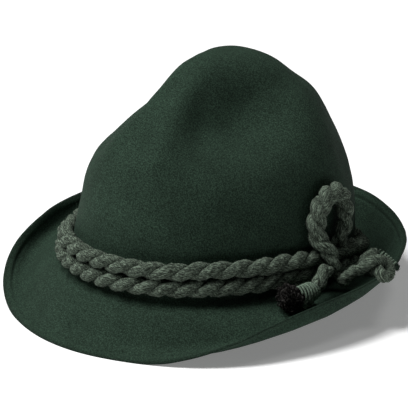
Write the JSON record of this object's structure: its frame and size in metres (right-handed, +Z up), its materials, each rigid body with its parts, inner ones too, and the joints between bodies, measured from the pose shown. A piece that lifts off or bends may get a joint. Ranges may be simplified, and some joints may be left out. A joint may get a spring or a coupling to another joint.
{
  "type": "tyrolean hat",
  "caption": "Tyrolean felt hat with a pinched crown, a brim turned up at the sides and back, and a twisted wool cord band knotted at the wearer's left.",
  "frame": {"origin": "middle of the whole hat's outline, on the level surface that the brim rests on", "axes": "+Z up, -Y towards the front of the hat, +X towards the wearer's left, where the knot is"},
  "size_m": [0.2616, 0.2758, 0.1576],
  "materials": {
    "felt": "matt dark green wool felt",
    "cord": "matt fuzzy two-ply wool cord",
    "thread": "matt binding thread",
    "tuft": "matt cut wool fibres"
  },
  "bodies": {
    "root": {"felt_body": "felt", "band_cord_upper": "cord", "band_cord_lower": "cord", "knot_loop": "cord", "knot_wrap": "cord", "tail_rear": "cord", "tail_rear_knot": "cord", "tail_rear_binding": "thread", "tail_rear_tip": "cord", "tail_front": "cord", "tail_front_binding": "thread", "tail_front_tuft": "tuft"}
  },
  "joints": []
}
